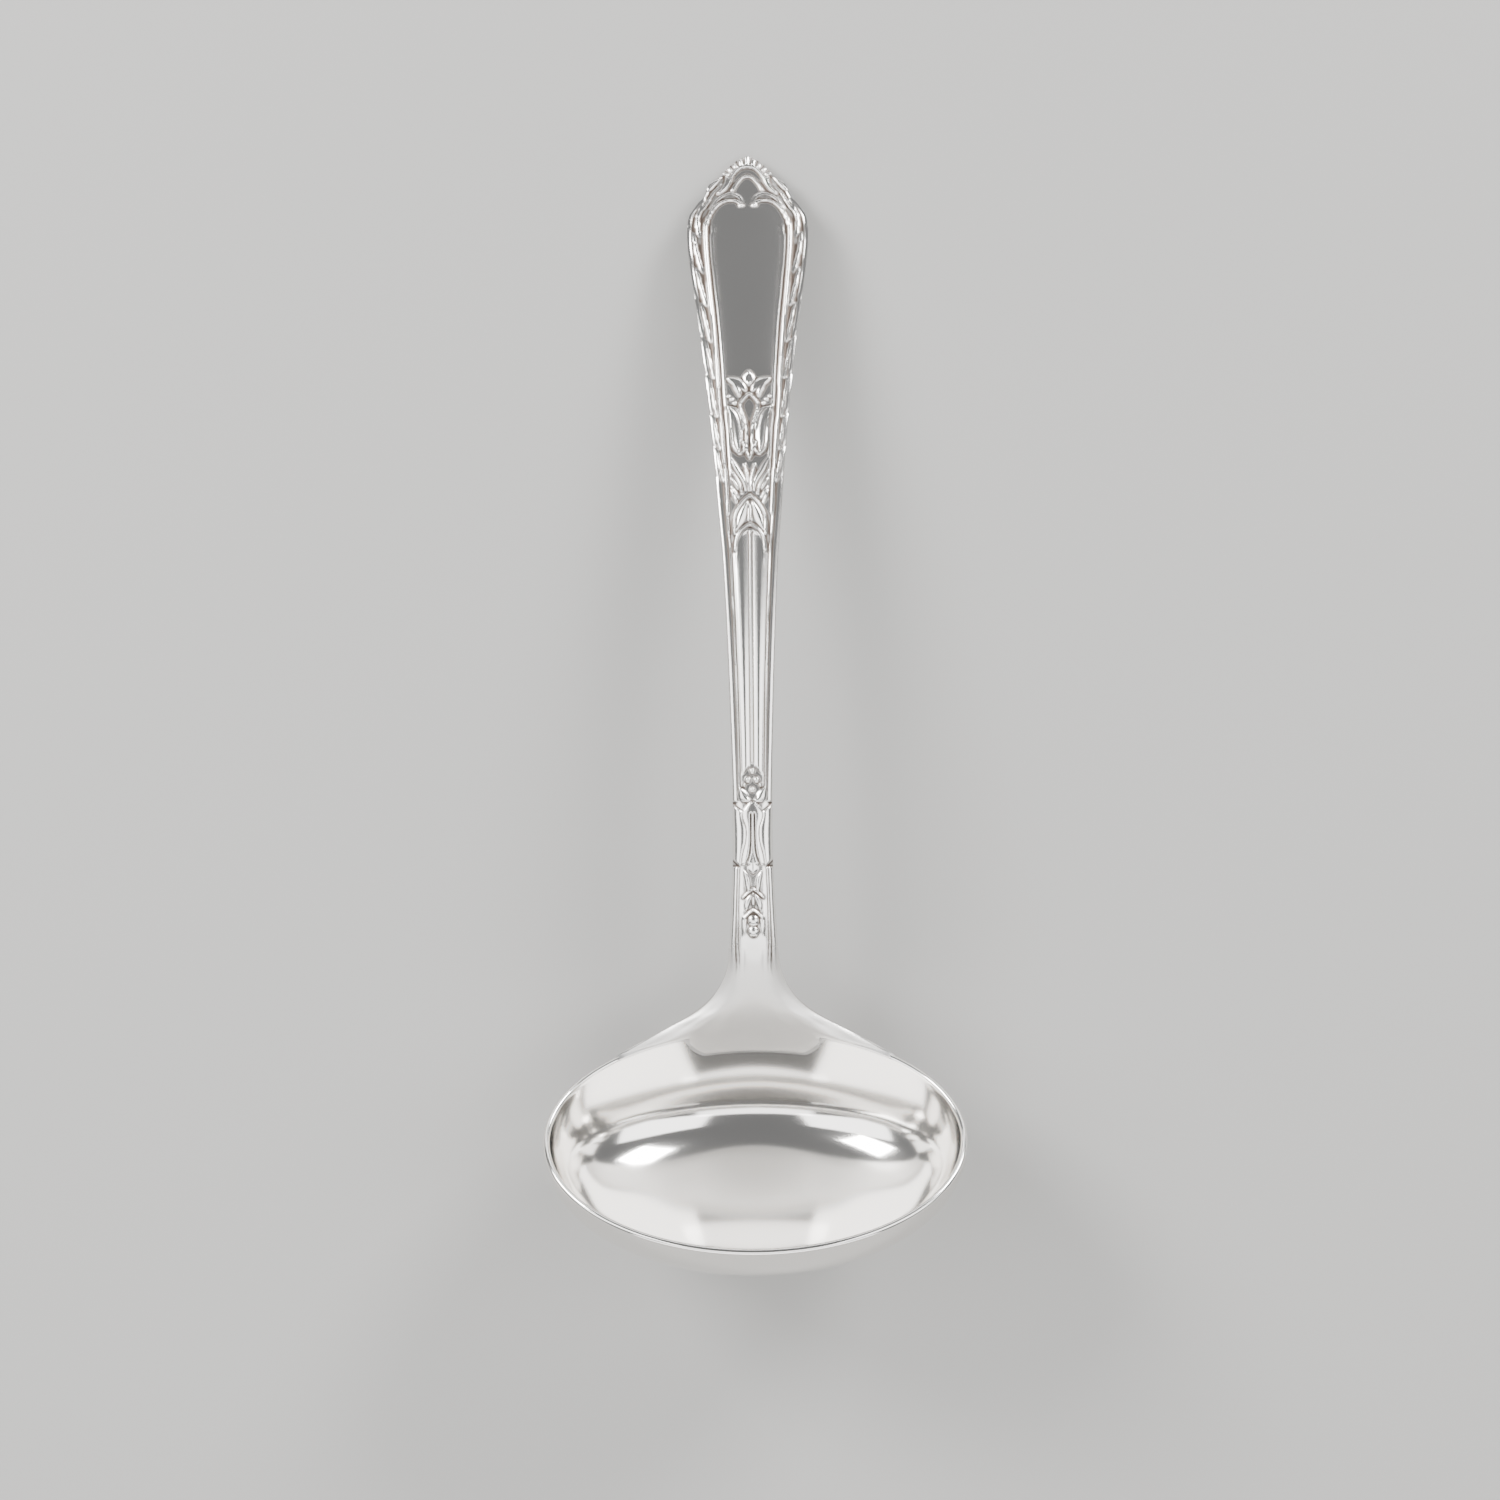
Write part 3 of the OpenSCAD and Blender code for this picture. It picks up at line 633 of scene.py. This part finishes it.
# Leaf spray that fans from the foot of the flower.
leaf([(0.15, 52.6), (0.3, 50.6), (0.85, 48.1)], 0.34, 0.34, 0.5)
leaf([(0.55, 52.6), (0.9, 50.9), (1.9, 49.2), (2.9, 47.3)], 0.42, 0.38, 0.55, 0.5)
leaf([(1.1, 53.1), (1.5, 51.6), (2.1, 50.4), (2.85, 49.2)], 0.32, 0.34, 0.5)
leaf([(1.7, 52.3), (2.2, 51.4), (2.8, 50.4)], 0.26, 0.3, 0.5)
leaf([(1.75, 53.6), (2.2, 52.7), (2.65, 51.8)], 0.26, 0.32, 0.5)
leaf([(1.95, 54.4), (2.4, 53.4), (2.75, 52.3)], 0.26, 0.3, 0.5)

# Two pointed arches over the head of the reeds.
ridge([(0, 53.15), (0.9, 53.9), (1.8, 55.1), (2.35, 56.6), (2.35, 59)], 0.27, 0.4)
leaf([(0.35, 54.0), (1.0, 55.4), (1.6, 57.0), (2.1, 58.6)], 0.75, 0.3, 0.5)
ridge([(0.16, 54.4), (0.16, 57)], 0.12, 0.24, 0.4)
ridge([(0, 57.5), (0.7, 57.95), (1.5, 58.6), (2.1, 59.8), (2.3, 61.5)], 0.3, 0.42)
ridge([(0, 58.3), (0.8, 58.7), (1.5, 59.6), (1.9, 61.0), (2.1, 63.5)], 0.2, 0.3, 0.4)

# Lower flower: beads under the reeds, crossed leaves, curved petals and a drop.
for bead_x, bead_back, bead_size in ((0, 94.8, 0.44), (0.64, 96.1, 0.47), (1.2, 96.85, 0.27),
                                     (0, 97.6, 0.44)):
    bead(bead_x, bead_back, bead_size, 0.36)
leaf([(0.25, 99.2), (1.15, 98.9), (2.0, 97.3)], 0.85, 0.34, 0.5)
leaf([(0.6, 99.2), (1.3, 99.5), (1.75, 100.4)], 0.5, 0.32, 0.5)
petal = between(99.6, 108.7, back_map + 0.9 * ax_map * (back_map < 104), 0.3)
outer_petal = between(100.6, 108.9, back_map + 0.8 * (ax_map - STEM_HALF + 1), 0.3)
WAIST_TABLE = [(99, 0.2), (101.1, 1.55), (103.4, 1.02), (105.3, 1.08), (107.4, 1.6), (109, 1.8)]
waist = fair(WAIST_TABLE, back_map)
inner_side = petal * 0.32 * rounded(ax_map, -waist, waist)
outer_side = outer_petal * 0.36 * rounded(edge_map, -0.9, row_half[:, None] - waist)
struck = np.where((back_map > 99.4) & (back_map < 109.2), np.maximum(inner_side, outer_side), struck)
groove([(0.27, 101.2), (0.3, 103.4), (0.36, 106), (0.62, 107.6), (1.1, 108.8)], 0.13, 0.3)
leaf([(0, 106.8), (0, 108.6), (0, 110.1)], 0.86, 0.36, 0.7)

# Leaves, arches and two round beads down to the neck.
leaf([(1.35, 109.6), (0.85, 111.0), (0.7, 112.9)], 0.46, 0.32, 0.5, 0.2)
ridge([(0, 112.3), (0.6, 112.7), (1.65, 113.6)], 0.16, 0.32)
leaf([(0.25, 113.1), (0.8, 114.2), (1.15, 115.4)], 0.5, 0.3, 0.55, 0.3)
leaf([(0, 113.0), (0, 114.1), (0, 115.2)], 0.3, 0.28, 0.5)
ridge([(0, 115.4), (0.55, 115.75), (1.45, 116.6)], 0.16, 0.32)
bead(0, 117.0, 0.82, 0.42)
bead(0, 118.6, 0.8, 0.42)
collar = between(116.4, 118.8, back_map, 1.6) * 0.2 * rounded(ax_map, 1.05, 1.75)
struck = np.maximum(struck, collar)

# Below the beads the lines die away into the plain throat.
FADE_RUN = 6
DEEPEST, HIGHEST = -0.15, 0.46
throat = between(121.5, 160, back_map, 4)
throat_hollow = np.clip(1 - (ax_map / 1.45) ** 4, 0, 1)
struck = np.maximum(struck, 0.16 * throat * throat_hollow * (back_map > 119.4))
struck *= ease(np.clip((THROAT_START - back_map) / FADE_RUN, 0, 1))
struck = np.clip(struck, DEEPEST, HIGHEST)


def spread(values, passes):
    """Softens a map of the face a little, as plating and polishing do."""
    for _ in range(passes):
        p = np.pad(values, 1, mode="edge")
        values = (p[:-2, 1:-1] + p[2:, 1:-1] + p[1:-1, :-2] + p[1:-1, 2:] + 4 * values) / 8
    return values


struck = spread(struck, 2)

# Tarnish stays in the narrow lines at the foot of the raised work, where a cloth doesn't reach, and
# more thinly over the wide low ground. The throat is left matte.
LINE_PASSES, LINE_DEPTH, LINE_START = 8, 0.028, 0.12
GROUND_PASSES, GROUND_DEPTH, GROUND_START, GROUND_SHARE = 60, 0.14, 0.35, 0.8
MATTE_START, MATTE_RUN = 119.5, 5
foot_lines = np.clip((spread(struck, LINE_PASSES) - struck) / LINE_DEPTH - LINE_START, 0, 1)
low_ground = np.clip((spread(struck, GROUND_PASSES) - struck) / GROUND_DEPTH - GROUND_START, 0, 1)
recess_map = spread(np.maximum(foot_lines, GROUND_SHARE * low_ground), 1)
throat_map = np.clip((back_map - MATTE_START) / MATTE_RUN, 0, 1)

# Where the bar meets the rim: how far out it keeps the rim's shape, how far out its back rounds
# over, and how the shoulders' cover over the rim thins toward their ends.
ROOT_BLEND = 4
SETTLE_RUN = 10
COVER_START, COVER_LOSS = 0.6, 0.75


def bar_points(t, back, place, share, struck_here):
    """Points of the bar: share 0 is the underside, share 1 the face."""
    centre, up = bar_line(t), bar_up(t)
    out = HANDLE_REACH - back - root_y
    half = half_at(back)
    off_rim = ease(np.clip(out / ROOT_BLEND, 0, 1))
    middle, edge = fair(THICK_TABLE, out), fair(EDGE_TABLE, out)
    settled = np.clip(out / SETTLE_RUN, 0, 1)
    thick = middle - (middle - edge) * np.abs(place) ** (2 + 2 * settled)
    thin = (middle - edge) * place ** 4 * settled
    rise = thick * share + thin * (1 - share) + struck_here * share
    base = np.stack([
        half * place,
        centre[..., 0] - fair(TRAIL_TABLE, out) * bow(place),
        centre[..., 1] + fair(LIFT_TABLE, out) * bow(place),
    ], -1)
    lifted = base + np.stack([np.zeros_like(rise), up[..., 0] * rise, up[..., 1] * rise], -1)
    turn = np.arcsin(place * math.sin(SHOULDER_TURN))
    proud = TONGUE_THICK * feather(place / TONGUE_HALF)
    toward_end = np.clip((np.abs(place) - COVER_START) / (1 - COVER_START), 0, 1)
    cover = (wall + FILM) * (1 - COVER_LOSS * toward_end ** 2)
    inward = cup_point(cover + proud, turn, 0 * turn) - cup_point(0, turn, 0 * turn)
    on_film = np.array([0, math.sin(RIM_LEAN), math.cos(RIM_LEAN)]) * FILM
    rooted = base + inward * share[..., None] + on_film
    return rooted + (lifted - rooted) * off_rim[..., None]


grid_t = np.broadcast_to(row_t[:, None], x_map.shape)
grid_place = np.broadcast_to(columns, x_map.shape)
face_grid = bar_points(grid_t, back_map, grid_place, np.ones_like(x_map), struck)

# The throat runs down into the tongue in one sweep, drawn again as a fair curve over the last rows.
SWEEP_RUN = 7.5
SWEEP_END, SWEEP_FADE = 0.8, 0.45
FIRST_DROP = math.radians(1.5)
sweep_start = int(np.argmin(np.abs(HANDLE_REACH - backs - root_y - SWEEP_RUN)))
sweep_rows = backs[sweep_start:]
u = ((sweep_rows - sweep_rows[0]) / (sweep_rows[-1] - sweep_rows[0]))[:, None, None]
leave, arrive = face_grid[sweep_start], face_grid[-1]
leave_run = (face_grid[sweep_start + 1] - face_grid[sweep_start - 1]) / (
    (backs[sweep_start + 1] - backs[sweep_start - 1]) / (sweep_rows[-1] - sweep_rows[0]))
rim_turns = np.arcsin(columns * math.sin(SHOULDER_TURN))
at_rim = 0 * rim_turns
down_wall = cup_point(wall, rim_turns, at_rim + FIRST_DROP) - cup_point(wall, rim_turns, at_rim)
down_wall /= np.linalg.norm(down_wall, axis=-1, keepdims=True)
arrive_run = down_wall * np.linalg.norm(arrive - leave, axis=-1, keepdims=True)
sweep = (leave * (1 + 2 * u) * (1 - u) ** 2 + leave_run * u * (1 - u) ** 2
         + arrive * u ** 2 * (3 - 2 * u) + arrive_run * u ** 2 * (u - 1))
middle_share = ease(np.clip((SWEEP_END - np.abs(columns)) / SWEEP_FADE, 0, 1))[None, :, None]
face_grid[sweep_start:, :, 1:] += ((sweep - face_grid[sweep_start:]) * middle_share)[..., 1:]
under_pick = np.arange(0, FACE_COLUMNS + 1, UNDER_STRIDE)
under_shape = (len(backs), len(under_pick))
under_grid = bar_points(grid_t[:, under_pick], back_map[:, under_pick], grid_place[:, under_pick],
                        np.zeros(under_shape), np.zeros(under_shape))

# The tongue: its back lies along the cup wall, its face thins down to the lower edge.
tongue_pick = np.nonzero(np.abs(columns) <= TONGUE_HALF)[0]
tongue_place = columns[tongue_pick]
tongue_turn = np.arcsin(tongue_place * math.sin(SHOULDER_TURN))
TONGUE_LEVELS = 22
tongue_steps = np.linspace(0, 1, TONGUE_LEVELS)[:, None]
tongue_span = np.clip(np.abs(tongue_place) / TONGUE_HALF, 0, 1)
tongue_reach = TONGUE_DROP * tongue_edge(tongue_span)
tongue_drop = tongue_steps * tongue_reach
tongue_proud = TONGUE_THICK * feather(tongue_place / TONGUE_HALF)
tongue_thinning = EVEN_THINNING * tongue_steps + (1 - EVEN_THINNING) * tongue_steps ** 6
tongue_thick = TONGUE_EDGE + (tongue_proud - TONGUE_EDGE) * (1 - tongue_thinning)
tongue_thick[0] = tongue_proud
tongue_turns = np.broadcast_to(tongue_turn, tongue_drop.shape)
seat_rise = FILM * (tongue_steps == 0)
tongue_back = cup_point(wall + FILM, tongue_turns, tongue_drop, seat_rise)
tongue_face = cup_point(wall + FILM + tongue_thick, tongue_turns, tongue_drop, seat_rise)
tongue_face[0] = face_grid[-1, tongue_pick]


class Mesh:
    """Collects grids and caps of millimetre points, then makes one closed piece in metres."""

    def __init__(self):
        self.points, self.faces, self.recess, self.matte = [], [], [], []

    def add(self, grid, recess=0.0, matte=0.0):
        start = len(self.points)
        flat = np.asarray(grid, float).reshape(-1, 3)
        self.points.extend(flat.tolist())
        self.recess.extend(np.broadcast_to(recess, grid.shape[:-1]).reshape(-1).tolist())
        self.matte.extend(np.broadcast_to(matte, grid.shape[:-1]).reshape(-1).tolist())
        return np.arange(start, start + len(flat)).reshape(grid.shape[:-1])

    def skin(self, ids):
        a, b, c, d = ids[:-1, :-1], ids[1:, :-1], ids[1:, 1:], ids[:-1, 1:]
        self.faces.extend(np.stack([a, b, c, d], -1).reshape(-1, 4).tolist())

    def make(self, name, material):
        mesh = bpy.data.meshes.new(name)
        place = np.array(self.points) + np.array([0, bowl_middle / MM, 0])
        mesh.from_pydata((place * MM).tolist(), [], self.faces)
        mesh.attributes.new("recess", "FLOAT", "POINT").data.foreach_set("value", self.recess)
        mesh.attributes.new("matte", "FLOAT", "POINT").data.foreach_set("value", self.matte)
        mesh.materials.append(material)
        tidy_mesh(mesh)
        mesh.set_sharp_from_angle(angle=math.radians(50))
        piece = bpy.data.objects.new(name, mesh)
        bpy.context.collection.objects.link(piece)
        return piece


UNDER_TARNISH, SIDE_TARNISH = 0.12, 0.1
SIDE_ROUNDING = 0.07
SIDE_SHARES = (0.15, 0.5, 0.85)
bar = Mesh()
face_ids = bar.add(face_grid, recess_map, throat_map)
under_ids = bar.add(under_grid, UNDER_TARNISH)
bar.skin(face_ids)
bar.skin(under_ids[:, ::-1])
for side, face_end in ((0, 0), (-1, FACE_COLUMNS)):
    top, bottom = face_grid[:, face_end], under_grid[:, side]
    across = (np.sign(top[:, 0]) * SIDE_ROUNDING)[:, None]
    strip = [face_ids[:, face_end]]
    for share in SIDE_SHARES:
        mid = top + (bottom - top) * share
        mid[:, :1] += across * math.sin(math.pi * share)
        mid[-1] = top[-1] + (bottom[-1] - top[-1]) * share
        strip.append(bar.add(mid, SIDE_TARNISH))
    strip.append(under_ids[:, side])
    bar.skin(np.stack(strip, -1))
    if side == 0:
        left_strip = strip
tip_ring = list(face_ids[0]) + [s[0] for s in strip[1:-1]] + list(under_ids[0][::-1]) + [
    s[0] for s in left_strip[1:-1]][::-1]
bar.faces.append([int(i) for i in tip_ring])

# The foot of the bar: the tongue inside the wall, then the seat that rests on the film over the rim.
tongue_back_ids = bar.add(tongue_back)
tongue_face_ids = bar.add(tongue_face, 0.0, 1.0)
bar.skin(tongue_back_ids)
bar.skin(tongue_face_ids[:, ::-1])
bar.skin(np.stack([tongue_back_ids[-1], tongue_face_ids[-1]]))
for end in (0, -1):
    bar.skin(np.stack([tongue_back_ids[:, end], tongue_face_ids[:, end]]))
rim_line = list(face_ids[-1])
rim_line[tongue_pick[0]:tongue_pick[-1] + 1] = list(tongue_back_ids[0])
last_seat = len(under_pick) - 2
for n in range(last_seat + 1):
    inner = rim_line[under_pick[n]:under_pick[n + 1] + 1]
    right_end = [s[-1] for s in strip[1:-1]] if n == last_seat else []
    left_end = [s[-1] for s in left_strip[-2:0:-1]] if n == 0 else []
    outer = [under_ids[-1, n + 1], under_ids[-1, n]]
    bar.faces.append([int(i) for i in inner + right_end + outer + left_end])
for end, outward in ((0, -1), (-1, 1)):
    corner = [face_ids[-1, tongue_pick[end] + outward], face_ids[-1, tongue_pick[end]],
              tongue_back_ids[0, end]]
    bar.faces.append([int(i) for i in corner])
handle_silver = silver("handle_silver", (0.95, 0.93, 0.9), (0.1, 0.08, 0.068), 0.16, 0.2)
handle = bar.make("silver_handle", handle_silver)
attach(handle, "root")
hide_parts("handle")

# --------------------------------------------------------------------------------- solder seam
# The tongue and shoulders are held by silver solder, run in as a film and cleaned up flush, so all
# that shows is a soft feathered line round the tongue's edge inside the bowl. The part over the rim
# is a plain block: it runs through the top of the rim's curve, and its drawn-out ends lie inside
# the metal.
FEATHER = math.radians(1.6)
FEATHER_START, FEATHER_CURVE, FEATHER_LOSS = 0.8, 0.7, 0.9
SEAM_LEVELS, SEAM_COLUMNS = 26, 60
SEAM_HALF = TONGUE_HALF + 0.03
RING_COLUMNS = 120
FILLET_RUN, FILLET_END = 0.14, 0.02
seam = Mesh()
seam_place = np.linspace(-SEAM_HALF, SEAM_HALF, SEAM_COLUMNS + 1)
seam_turn = np.arcsin(seam_place * math.sin(SHOULDER_TURN))
seam_span = np.clip(np.abs(seam_place) / SEAM_HALF, 0, 1)
seam_reach = (TONGUE_DROP + FEATHER) * tongue_edge(seam_span)
seam_steps = np.linspace(0, 1, SEAM_LEVELS)[:, None]
seam_drop = seam_steps * seam_reach
seam_turns = np.broadcast_to(seam_turn, seam_drop.shape)
seam_under = seam.add(cup_point(wall, seam_turns, seam_drop))
seam_fade = np.clip((seam_steps - FEATHER_START) / (1 - FEATHER_START), 0, 1)
seam_thick = FILM * (1 - FEATHER_LOSS * seam_fade ** FEATHER_CURVE)
seam_over = seam.add(cup_point(wall + seam_thick, seam_turns, seam_drop))
seam.skin(seam_under)
seam.skin(seam_over[:, ::-1])
for edge in ((0, slice(None)), (-1, slice(None)), (slice(None), 0), (slice(None), -1)):
    seam.skin(np.stack([seam_under[edge], seam_over[edge]]))
rim_place = np.linspace(-1 - FILLET_RUN, 1 + FILLET_RUN, RING_COLUMNS + 1)
rim_turn = np.arcsin(rim_place * math.sin(SHOULDER_TURN))
still = 0 * rim_turn
fillet = np.clip((1 + FILLET_RUN - np.abs(rim_place)) / FILLET_RUN, FILLET_END, 1)[..., None]
middle = cup_point(wall / 2, rim_turn, still, -RIM_ROUNDING / MM)
ring = [cup_point(0, rim_turn, still, -RIM_ROUNDING / MM),
        cup_point(wall, rim_turn, still, -RIM_ROUNDING / MM),
        cup_point(wall, rim_turn, still, FILM), cup_point(0, rim_turn, still, FILM)]
ring = [middle + (line - middle) * fillet for line in ring]
ring_ids = [seam.add(line) for line in ring]
seam.skin(np.stack(ring_ids + [ring_ids[0]]))
for end in (0, -1):
    seam.faces.append([int(ids[end]) for ids in ring_ids])
solder_silver = silver("solder_silver", (0.7, 0.69, 0.68), (0.4, 0.36, 0.33), 0.26, 0.25)
solder = seam.make("solder_seam_film", solder_silver)
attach(solder, "root")
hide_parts("solder_seam")

# ------------------------------------------------------------------------------ table and light
# A plain pale table with soft studio boxes round it; the ladle is seen from straight above.
FLOOR_SIZE = 6.0
floor_mesh = bpy.data.meshes.new("pale_table")
half_floor = FLOOR_SIZE / 2
floor_mesh.from_pydata([(-half_floor, -half_floor, 0), (half_floor, -half_floor, 0),
                        (half_floor, half_floor, 0), (-half_floor, half_floor, 0)], [], [(0, 1, 2, 3)])
floor = bpy.data.objects.new("pale_table", floor_mesh)
bpy.context.collection.objects.link(floor)
table_paint = bpy.data.materials.new("pale_table")
table_paint.use_nodes = True
table_shader = table_paint.node_tree.nodes["Principled BSDF"]
table_shader.inputs["Base Color"].default_value = (0.35, 0.345, 0.335, 1)
table_shader.inputs["Roughness"].default_value = 0.8
floor_mesh.materials.append(table_paint)

world = bpy.data.worlds.new("studio")
bpy.context.scene.world = world
world.use_nodes = True
world.node_tree.nodes["Background"].inputs["Color"].default_value = (0.68, 0.69, 0.7, 1)
world.node_tree.nodes["Background"].inputs["Strength"].default_value = 0.3


def softbox(name, place, target, width, length, power):
    lamp = bpy.data.lights.new(name, "AREA")
    lamp.shape = "RECTANGLE"
    lamp.size, lamp.size_y = width, length
    lamp.energy = power
    box = bpy.data.objects.new(name, lamp)
    bpy.context.collection.objects.link(box)
    box.location = place
    box.rotation_euler = (Vector(target) - Vector(place)).to_track_quat("-Z", "Y").to_euler()


softbox("left_softbox", (-0.62, 0.42, 0.5), (0, 0, 0), 0.34, 0.34, 12)
softbox("right_softbox", (0.55, 0.62, 0.42), (0, 0, 0), 0.34, 0.3, 12)
softbox("left_bank", (-0.66, -0.05, 0.75), (0, 0, 0), 0.6, 0.8, 6)
softbox("right_bank", (0.66, -0.05, 0.75), (0, 0, 0), 0.6, 0.8, 6)
softbox("front_bank", (0, -1.05, 0.4), (0, 0, 0.02), 1.6, 0.6, 11)
softbox("overhead_bank", (0, -0.5, 1.0), (0, -0.05, 0), 1.0, 0.5, 5)
softbox("back_strip", (0, 1.2, 0.24), (0, 0, 0.02), 1.2, 0.2, 3)

CAMERA_PLACE = (-0.0003, -0.0068, 0.7)
CAMERA_ROLL = math.radians(-0.48)
CAMERA_LENS = 107.8
camera_data = bpy.data.cameras.new("overhead_camera")
camera_data.lens = CAMERA_LENS
camera_data.sensor_width = 36
camera = bpy.data.objects.new("overhead_camera", camera_data)
bpy.context.collection.objects.link(camera)
camera.location = CAMERA_PLACE
camera.rotation_euler = (0, 0, CAMERA_ROLL)
bpy.context.scene.camera = camera
